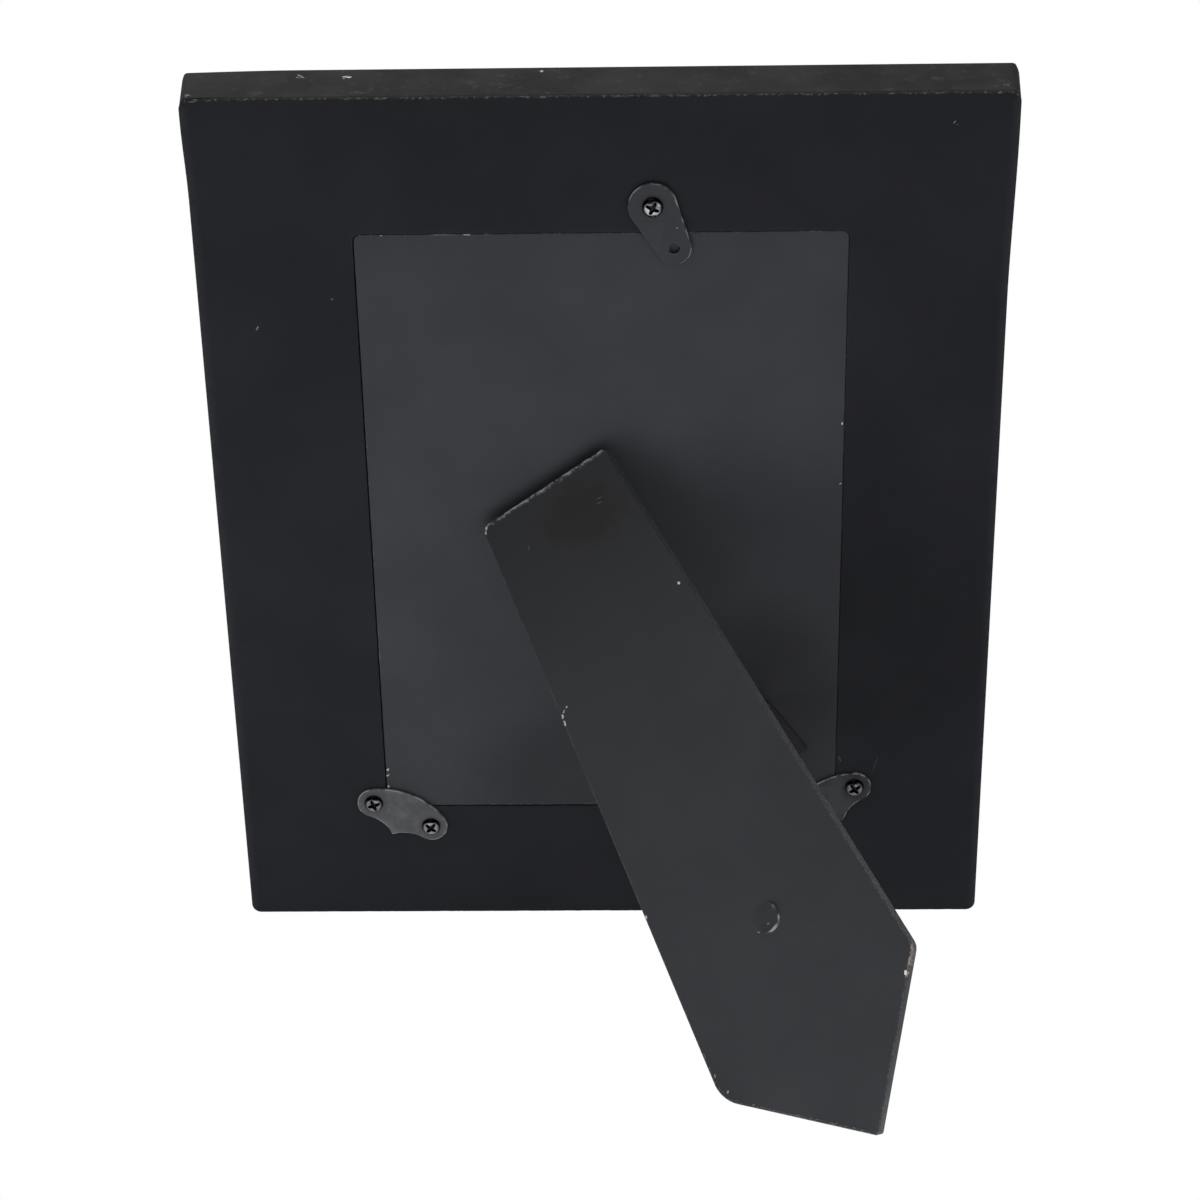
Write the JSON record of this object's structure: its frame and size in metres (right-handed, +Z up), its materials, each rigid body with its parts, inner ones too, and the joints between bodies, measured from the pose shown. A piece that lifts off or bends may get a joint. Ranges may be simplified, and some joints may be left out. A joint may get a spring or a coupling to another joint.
{
  "type": "easel back photo frame",
  "caption": "Tabletop photo frame leaning back on a hinged, flared easel leg with a ribbon stay; its backing board is held by a turn button and corner clips.",
  "frame": {"origin": "centre of the footprint on the surface that the frame and its leg stand on", "axes": "+Z up, -Y towards the viewer of the picture, +Y towards the easel leg, +X to the viewer's right"},
  "size_m": [0.2186, 0.1536, 0.255],
  "materials": {
    "frame_black": "matt black paint over fibreboard",
    "cover_black": "black paper-faced sheet, matt",
    "board_grey": "dark grey paper-faced board, matt",
    "leg_grey": "dark grey paper over fibreboard, worn at the edges",
    "filler": "plain grey-brown card",
    "photo": "blank white card",
    "glass": "clear",
    "dowel": "plain beech",
    "clip_steel": "dark grey, satin",
    "screw_black": "glossy black",
    "hinge_steel": "plain steel",
    "rivet_black": "black, semi-gloss",
    "ribbon_black": "woven black ribbon"
  },
  "bodies": {
    "frame": {"top_rail": "frame_black", "bottom_rail": "frame_black", "left_rail": "frame_black", "right_rail": "frame_black", "rail_dowels": "dowel", "back_cover": "cover_black", "backing_board": "board_grey", "filler_card": "filler", "photo_insert": "photo", "glass_pane": "glass", "turn_button_screw": "screw_black", "left_corner_plate": "clip_steel", "right_corner_plate": "clip_steel", "left_plate_screws": "screw_black", "right_plate_screws": "screw_black", "hinge_board_leaf": "hinge_steel", "hinge_pin": "hinge_steel", "board_leaf_rivets": "hinge_steel", "stay_ribbon": "ribbon_black", "stay_board_rivet": "rivet_black"},
    "leg": {"easel_leg": "leg_grey", "hinge_leg_leaf": "hinge_steel", "leg_leaf_rivets": "hinge_steel", "stay_leg_rivet": "rivet_black"},
    "turn_button": {"turn_button": "clip_steel"}
  },
  "joints": [
    {"name": "leg_fold", "type": "hinge", "parent": "frame", "child": "leg", "pos_m": [0.01277, -0.03327, 0.13522], "axis": [-0.8141, 0.0908, 0.5736], "range_deg": [0, 40.7], "deforming": ["stay_ribbon"]},
    {"name": "turn_button_pivot", "type": "hinge", "parent": "frame", "child": "turn_button", "pos_m": [-0.0138, -0.02118, 0.22113], "axis": [0, 0.9877, -0.1564], "continuous": true}
  ]
}
